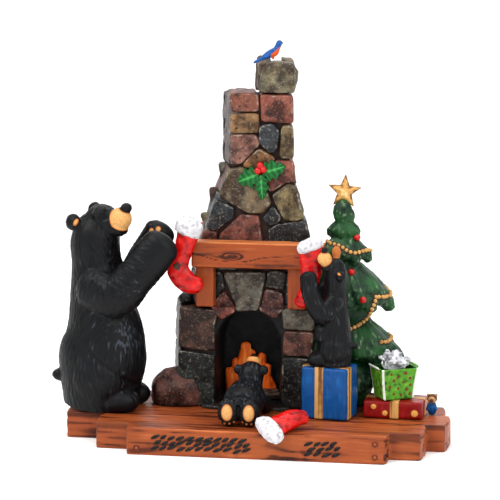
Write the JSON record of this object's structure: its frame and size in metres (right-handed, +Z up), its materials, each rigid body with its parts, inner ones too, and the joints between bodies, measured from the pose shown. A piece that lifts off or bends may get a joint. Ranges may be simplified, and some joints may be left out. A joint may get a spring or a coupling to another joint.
{
  "type": "christmas bear figurine",
  "caption": "Painted resin group of black bears round a stone fireplace with stockings, tree and gifts, on a plank deck; a shelf ornament.",
  "frame": {"origin": "on the surface that the deck stands on, under the middle of the whole group", "axes": "+Z up, front faces -Y, +X to the right as seen from the front"},
  "size_m": [0.2266, 0.1084, 0.2213],
  "materials": {
    "plank_wood": "satin, painted cast resin",
    "stone_and_fire": "satin, painted cast resin",
    "bird_blue": "satin, painted cast resin",
    "black_fur": "satin, painted cast resin",
    "stocking_red": "gloss, painted cast resin",
    "fir_green": "satin, painted cast resin",
    "star_gold": "satin, painted cast resin",
    "gift_blue": "satin, painted cast resin",
    "gift_red": "satin, painted cast resin",
    "gift_green": "satin, painted cast resin",
    "toy_tan": "satin, painted cast resin"
  },
  "bodies": {
    "root": {"base": "plank_wood", "mantel": "plank_wood", "fireplace": "stone_and_fire", "bird": "bird_blue", "big_bear": "black_fur", "small_bear": "black_fur", "cub": "black_fur", "left_stocking": "stocking_red", "right_stocking": "stocking_red", "floor_stocking": "stocking_red", "tree": "fir_green", "star": "star_gold", "blue_gift": "gift_blue", "red_gift": "gift_red", "green_gift": "gift_green", "toy": "toy_tan"}
  },
  "joints": []
}
